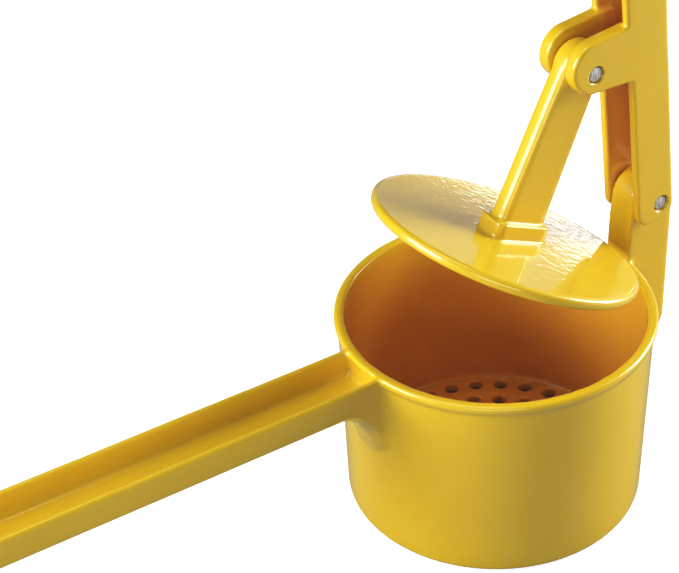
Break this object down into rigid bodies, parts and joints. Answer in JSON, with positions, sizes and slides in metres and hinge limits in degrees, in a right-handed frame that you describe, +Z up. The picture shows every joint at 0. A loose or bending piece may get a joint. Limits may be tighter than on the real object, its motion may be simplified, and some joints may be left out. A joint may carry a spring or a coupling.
{
  "type": "potato ricer",
  "caption": "Hand-held potato ricer: a round perforated cup with a long channel handle, and a hinged lever that presses a flat round plate down into the cup.",
  "frame": {"origin": "on the cup's axis, at the underside of the cup, where it rests on a table or over a bowl", "axes": "+Z up along the cup's axis, +X toward the hinge post, -X along the lower handle, Y along both hinge pins"},
  "size_m": [0.279, 0.09, 0.3423],
  "materials": {
    "yellow_coat": "glossy enamel or powder coat over cast aluminium",
    "pin_steel": "plain steel, sheared ends"
  },
  "bodies": {
    "cup_body": {"cup": "yellow_coat", "strainer_floor": "yellow_coat", "lower_handle": "yellow_coat", "hinge_post": "yellow_coat"},
    "lever_body": {"lever": "yellow_coat", "left_ear": "yellow_coat", "right_ear": "yellow_coat", "hinge_pin": "pin_steel", "plunger_pin": "pin_steel"},
    "plunger_body": {"plunger_plate": "yellow_coat", "plunger_stem": "yellow_coat"}
  },
  "joints": [
    {"name": "lever_hinge", "type": "hinge", "parent": "cup_body", "child": "lever_body", "pos_m": [0.0519, 0, 0.078], "axis": [0, -1, 0], "range_deg": [-12, 58]},
    {"name": "plunger_pivot", "type": "hinge", "parent": "lever_body", "child": "plunger_body", "pos_m": [0.026, 0, 0.1271], "axis": [0, -1, 0], "range_deg": [-25, 5.2]}
  ],
  "couplings": [
    {"joint": "plunger_pivot", "follows": "lever_hinge", "ratio": -0.43}
  ]
}
